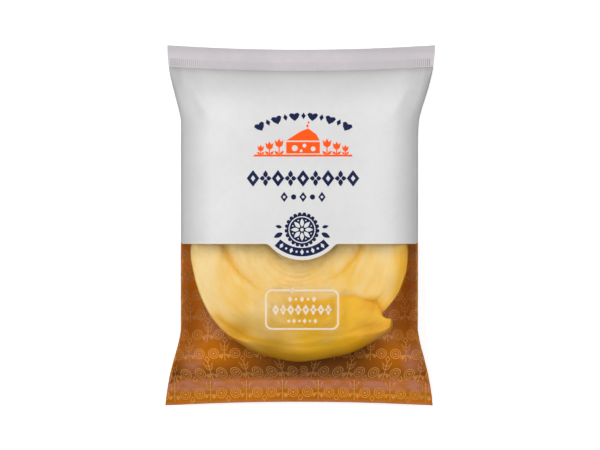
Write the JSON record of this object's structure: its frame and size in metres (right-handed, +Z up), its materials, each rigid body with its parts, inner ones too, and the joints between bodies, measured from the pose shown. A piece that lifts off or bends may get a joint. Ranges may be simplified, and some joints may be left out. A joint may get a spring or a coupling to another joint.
{
  "type": "coiled smoked cheese in a pillow pack",
  "caption": "Coil of smoked steamed cheese shut in a swollen film pack, welded flat across both ends, lying on its back with a clear window over the lower half.",
  "frame": {"origin": "centre of the pack's footprint, on the table it lies on", "axes": "+Z up out of the pack's front, +Y towards its top seal, +X to the right as its front is read"},
  "size_m": [0.118, 0.159, 0.028],
  "materials": {
    "printed_film": "satin printed film, light grey over the upper half and brown over the lower back",
    "clear_film": "clear film",
    "smoked_cheese": "smoked stretched curd, pale cream to golden yellow, slightly moist"
  },
  "bodies": {
    "root": {"sealed_pack": "printed_film", "window_film": "clear_film", "curd_coil": "smoked_cheese"}
  },
  "joints": []
}
